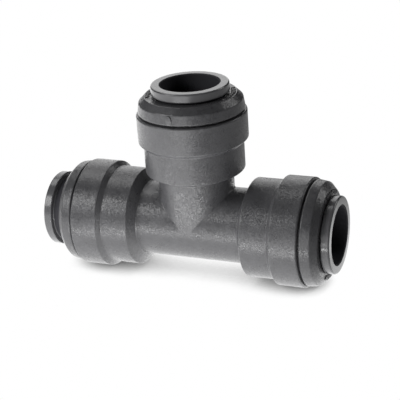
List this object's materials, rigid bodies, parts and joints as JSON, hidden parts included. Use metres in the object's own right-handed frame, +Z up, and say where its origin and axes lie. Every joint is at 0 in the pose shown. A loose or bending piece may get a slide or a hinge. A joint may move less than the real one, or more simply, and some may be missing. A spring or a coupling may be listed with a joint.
{
  "type": "push-fit tee",
  "caption": "Equal push-fit tee that joins plastic tubes: a moulded body whose ports each hold a sliding release collet, steel grip teeth and a rubber seal under an end cap.",
  "frame": {"origin": "where the axes of the three ports cross, in the middle of the body", "axes": "+X along the run towards the right port, +Z up along the branch, -Y towards the front"},
  "size_m": [0.0808, 0.0288, 0.0532],
  "materials": {
    "tee_acetal": "spark-eroded matt, dark grey",
    "cap_acetal": "matt wall, satin face",
    "collet_acetal": "satin, moulded smooth",
    "teeth_steel": "sheared stainless strip",
    "spacer_nylon": "natural, satin",
    "seal_rubber": "moulded, dull"
  },
  "bodies": {
    "tee": {"tee_body": "tee_acetal", "left_end_cap": "cap_acetal", "right_end_cap": "cap_acetal", "branch_end_cap": "cap_acetal", "left_o_ring": "seal_rubber", "right_o_ring": "seal_rubber", "branch_o_ring": "seal_rubber"},
    "left_ring": {"left_spacer_ring": "spacer_nylon"},
    "left_collet": {"left_collet": "collet_acetal", "left_grip_teeth": "teeth_steel"},
    "right_ring": {"right_spacer_ring": "spacer_nylon"},
    "right_collet": {"right_collet": "collet_acetal", "right_grip_teeth": "teeth_steel"},
    "branch_ring": {"branch_spacer_ring": "spacer_nylon"},
    "branch_collet": {"branch_collet": "collet_acetal", "branch_grip_teeth": "teeth_steel"}
  },
  "joints": [
    {"name": "left_collet_spin", "type": "hinge", "parent": "tee", "child": "left_ring", "pos_m": [-0.02, 0, 0], "axis": [-1, 0, 0], "continuous": true},
    {"name": "left_collet_slide", "type": "slide", "parent": "left_ring", "child": "left_collet", "axis": [-1, 0, 0], "range_m": [-0.00335, 0]},
    {"name": "right_collet_spin", "type": "hinge", "parent": "tee", "child": "right_ring", "pos_m": [0.02, 0, 0], "axis": [1, 0, 0], "continuous": true},
    {"name": "right_collet_slide", "type": "slide", "parent": "right_ring", "child": "right_collet", "axis": [1, 0, 0], "range_m": [-0.0002, 0.00315]},
    {"name": "branch_collet_spin", "type": "hinge", "parent": "tee", "child": "branch_ring", "pos_m": [0, 0, 0.0197], "axis": [0, 0, 1], "continuous": true},
    {"name": "branch_collet_slide", "type": "slide", "parent": "branch_ring", "child": "branch_collet", "axis": [0, 0, 1], "range_m": [-0.00045, 0.0029]}
  ]
}
